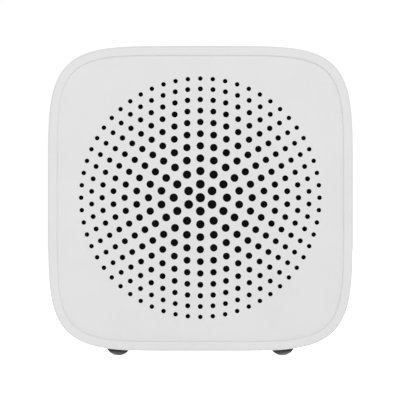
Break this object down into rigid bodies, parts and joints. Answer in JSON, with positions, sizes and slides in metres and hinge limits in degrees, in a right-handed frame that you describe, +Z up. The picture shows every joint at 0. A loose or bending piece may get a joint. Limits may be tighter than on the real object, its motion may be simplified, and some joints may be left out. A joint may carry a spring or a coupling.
{
  "type": "smart speaker",
  "caption": "Small cube-shaped smart speaker with a rounded case, perforated front panel, round key disc on top, domed rubber feet and a power socket at the back.",
  "frame": {"origin": "on the table, under the middle of the case", "axes": "+Z up, the front panel faces -Y, +X to the right seen from the front"},
  "size_m": [0.09, 0.08, 0.0914],
  "materials": {
    "shell_white": "fine matte moulded plastic",
    "panel_white": "fine matte moulded plastic",
    "cover_white": "fine matte moulded plastic",
    "control_white": "fine matte moulded plastic",
    "key_white": "fine matte moulded plastic with grey engraved symbols",
    "rubber_grey": "satin elastomer",
    "cloth_black": "open plain weave of matt black yarn",
    "foam_black": "closed cell foam",
    "inner_black": "moulded, textured",
    "inner_grey": "moulded, textured",
    "cone_paper": "pressed paper pulp",
    "surround_rubber": "satin rubber",
    "spider_cloth": "resin-set woven cotton",
    "former_film": "amber film",
    "copper_wire": "enamelled round wire",
    "braid_copper": "braided flexible lead",
    "stamped_steel": "black coated steel",
    "plated_steel": "zinc plated",
    "ferrite": "ground ferrite ceramic",
    "screw_steel": "nickel plated",
    "screw_dark": "black zinc",
    "board_green": "solder mask over glass epoxy",
    "chip_black": "moulded epoxy",
    "tin_can": "tin plated sheet",
    "core_grey": "ferrite core",
    "sleeve_silver": "aluminium can",
    "connector_ivory": "moulded nylon",
    "flat_cable": "polyester film over flat conductors",
    "guide_clear": "milky translucent polycarbonate",
    "led_white": "phosphor under clear epoxy",
    "switch_steel": "stamped cover",
    "switch_black": "moulded nylon",
    "mic_gold": "gold plated can",
    "socket_black": "moulded nylon",
    "contact_brass": "nickel free brass",
    "wire_red": "PVC insulation",
    "wire_black": "PVC insulation"
  },
  "bodies": {
    "housing": {"main_shell": "shell_white", "front_grille": "panel_white", "grille_cloth": "cloth_black", "cloth_ring": "foam_black", "rear_cover": "cover_white", "cover_screws": "screw_dark", "foot_front_left": "rubber_grey", "foot_front_right": "rubber_grey", "foot_rear_left": "rubber_grey", "foot_rear_right": "rubber_grey", "key_frame": "inner_grey", "control_panel": "control_white", "light_guide": "guide_clear", "key_board": "board_green", "switch_bodies": "switch_steel", "microphones": "mic_gold", "mic_boots": "surround_rubber", "status_leds": "led_white", "key_connector": "connector_ivory", "key_flat_cable": "flat_cable", "key_board_screws": "screw_steel", "baffle": "inner_black", "baffle_screws": "screw_steel", "rear_chamber": "inner_black", "chamber_seal": "foam_black", "driver_gasket": "foam_black", "driver_frame": "stamped_steel", "driver_screws": "screw_dark", "driver_terminal": "former_film", "surround": "surround_rubber", "spider": "spider_cloth", "tinsel_leads": "braid_copper", "top_plate": "plated_steel", "magnet": "ferrite", "yoke": "plated_steel", "lead_red": "wire_red", "lead_black": "wire_black", "main_board": "board_green", "board_screws": "screw_steel", "shield_can": "tin_can", "chips": "chip_black", "inductors": "core_grey", "capacitors": "sleeve_silver", "board_connectors": "connector_ivory", "antenna_board": "board_green", "dc_jack": "socket_black", "jack_pin": "screw_steel", "jack_contact": "contact_brass"},
    "play": {"play_key": "key_white", "play_plunger": "switch_black"},
    "mute": {"mute_key": "key_white", "mute_plunger": "switch_black"},
    "volume_down": {"volume_down_key": "key_white", "volume_down_plunger": "switch_black"},
    "volume_up": {"volume_up_key": "key_white", "volume_up_plunger": "switch_black"},
    "diaphragm": {"cone": "cone_paper", "dust_cap": "cone_paper", "coil_former": "former_film", "coil_winding": "copper_wire"}
  },
  "joints": [
    {"name": "play_press", "type": "slide", "parent": "housing", "child": "play", "axis": [0, 0, -1], "range_m": [0, 0.0004], "stiffness_N_per_m": 4000},
    {"name": "mute_press", "type": "slide", "parent": "housing", "child": "mute", "axis": [0, 0, -1], "range_m": [0, 0.0004], "stiffness_N_per_m": 4000},
    {"name": "volume_down_press", "type": "slide", "parent": "housing", "child": "volume_down", "axis": [0, 0, -1], "range_m": [0, 0.0004], "stiffness_N_per_m": 4000},
    {"name": "volume_up_press", "type": "slide", "parent": "housing", "child": "volume_up", "axis": [0, 0, -1], "range_m": [0, 0.0004], "stiffness_N_per_m": 4000},
    {"name": "cone_travel", "type": "slide", "parent": "housing", "child": "diaphragm", "axis": [0, -1, 0], "range_m": [-0.0015, 0.0015], "stiffness_N_per_m": 1500, "deforming": ["surround", "spider", "tinsel_leads"]}
  ]
}
